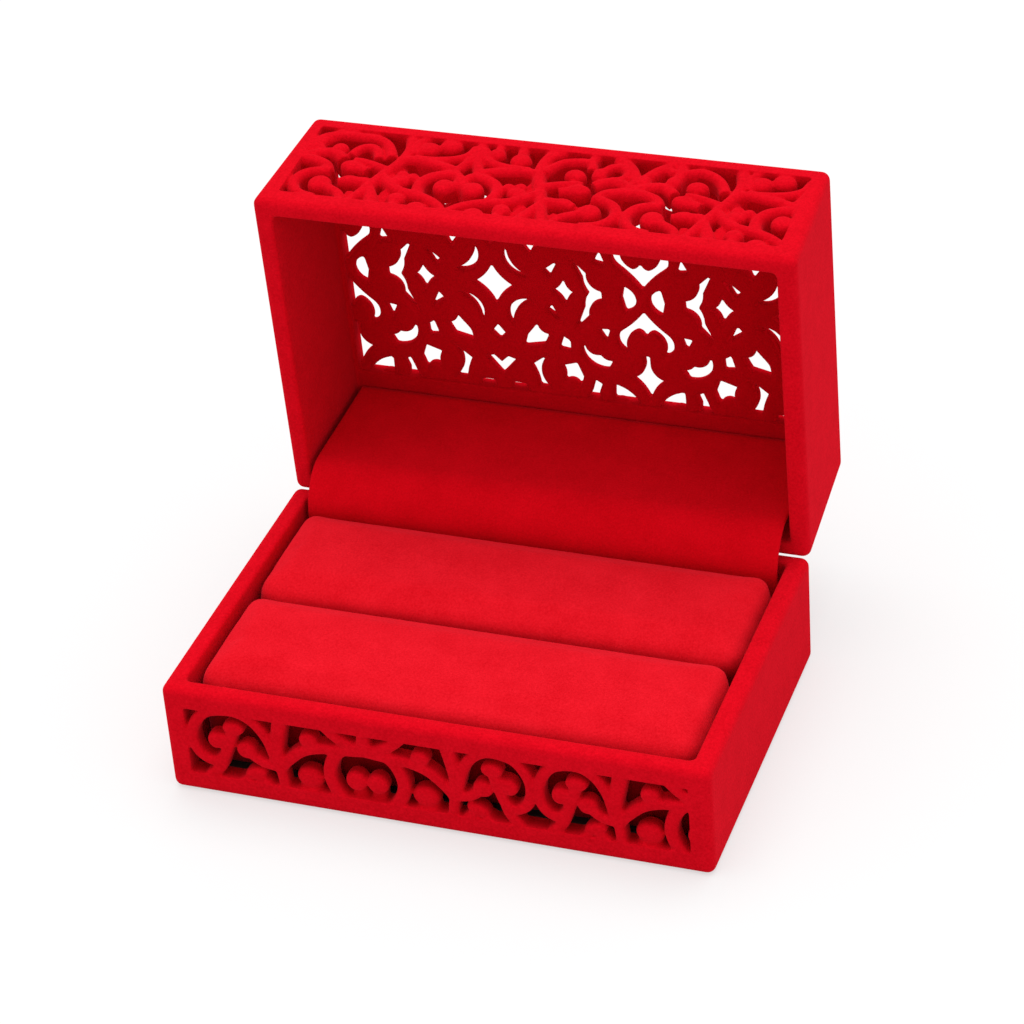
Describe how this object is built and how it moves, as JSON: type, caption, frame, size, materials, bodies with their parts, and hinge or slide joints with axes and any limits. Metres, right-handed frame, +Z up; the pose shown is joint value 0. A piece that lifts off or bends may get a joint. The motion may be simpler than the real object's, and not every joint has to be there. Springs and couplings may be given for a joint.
{
  "type": "jewelry presentation box",
  "caption": "Rectangular flocked ring box with pierced scroll panels, a snap-hinged lid, padded velvet ring rolls and a velvet flap over the hinge.",
  "frame": {"origin": "centre of the base's flat underside", "axes": "+X along the width, +Y from the front strip to the hinge, +Z up"},
  "size_m": [0.09, 0.0837, 0.0795],
  "materials": {
    "flocked_plastic": "red velvet flock on moulded plastic",
    "velvet": "short-pile red velvet",
    "foam": "open-cell foam, hidden",
    "card": "plain black-brown card, hidden",
    "hinge_steel": "plated stamped steel"
  },
  "bodies": {
    "base": {"base_shell": "flocked_plastic", "base_front_filigree": "flocked_plastic", "insert_board": "card", "front_roll_velvet": "velvet", "front_roll_foam": "foam", "rear_roll_velvet": "velvet", "rear_roll_foam": "foam", "hinge_cover_flap": "velvet", "hinge_base_leaf": "hinge_steel", "hinge_base_rivets": "hinge_steel", "hinge_pin": "hinge_steel", "hinge_spring": "hinge_steel"},
    "lid": {"lid_shell": "flocked_plastic", "lid_top_filigree": "flocked_plastic", "lid_front_filigree": "flocked_plastic", "hinge_lid_leaf": "hinge_steel", "hinge_lid_rivets": "hinge_steel"}
  },
  "joints": [
    {"name": "lid_hinge", "type": "hinge", "parent": "base", "child": "lid", "pos_m": [0, 0.02844, 0.0202], "axis": [-1, 0, 0], "range_deg": [-86, 0], "deforming": ["hinge_cover_flap", "hinge_spring"]}
  ]
}
